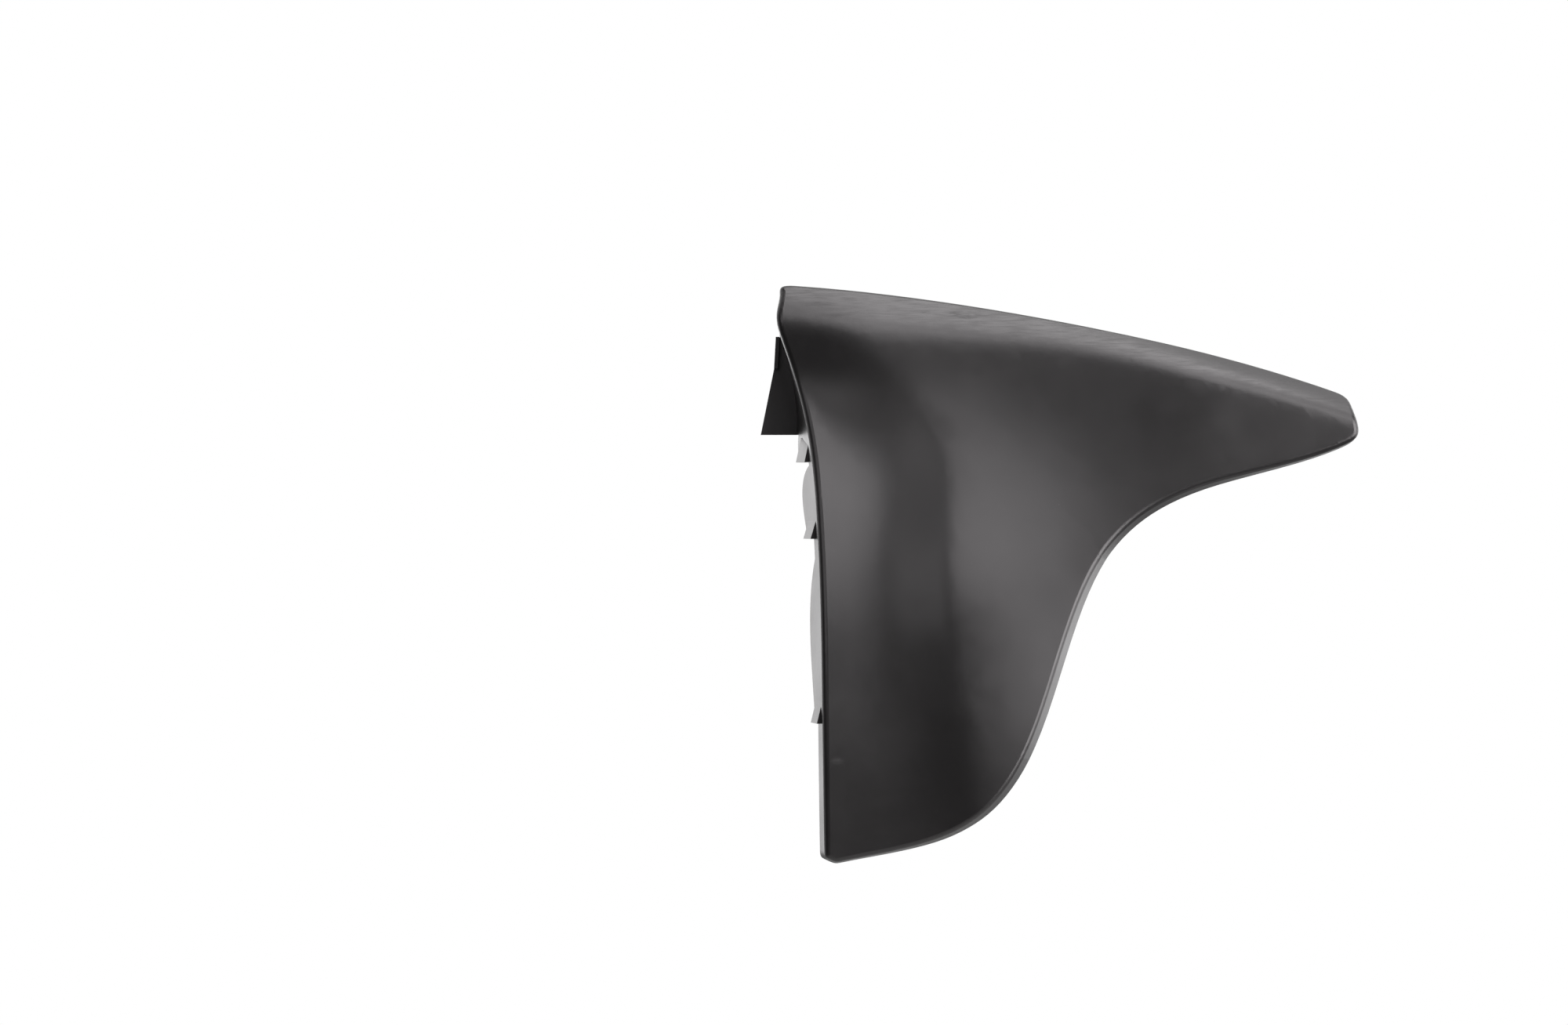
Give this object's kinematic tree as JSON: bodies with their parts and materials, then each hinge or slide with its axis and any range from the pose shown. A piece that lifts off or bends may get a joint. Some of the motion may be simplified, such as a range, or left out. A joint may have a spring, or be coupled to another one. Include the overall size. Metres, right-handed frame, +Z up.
{
  "type": "motorcycle side fairing panel",
  "caption": "Moulded plastic side fairing panel for a small motorcycle: swept wing over a tapering leg, scooped front, rolled rims, hooked front flange, hollow back with screw bosses.",
  "frame": {"origin": "centre of the upper screw boss's mouth, on the back of the panel", "axes": "+Z up as fitted, +X to the rear tip, +Y from the outer face into the bike, along the screws"},
  "size_m": [0.4098, 0.0741, 0.3949],
  "materials": {
    "black_plastic": "satin black, unpainted, with a fine moulded grain and light handling marks"
  },
  "bodies": {
    "root": {"fairing_panel": "black_plastic"}
  },
  "joints": []
}
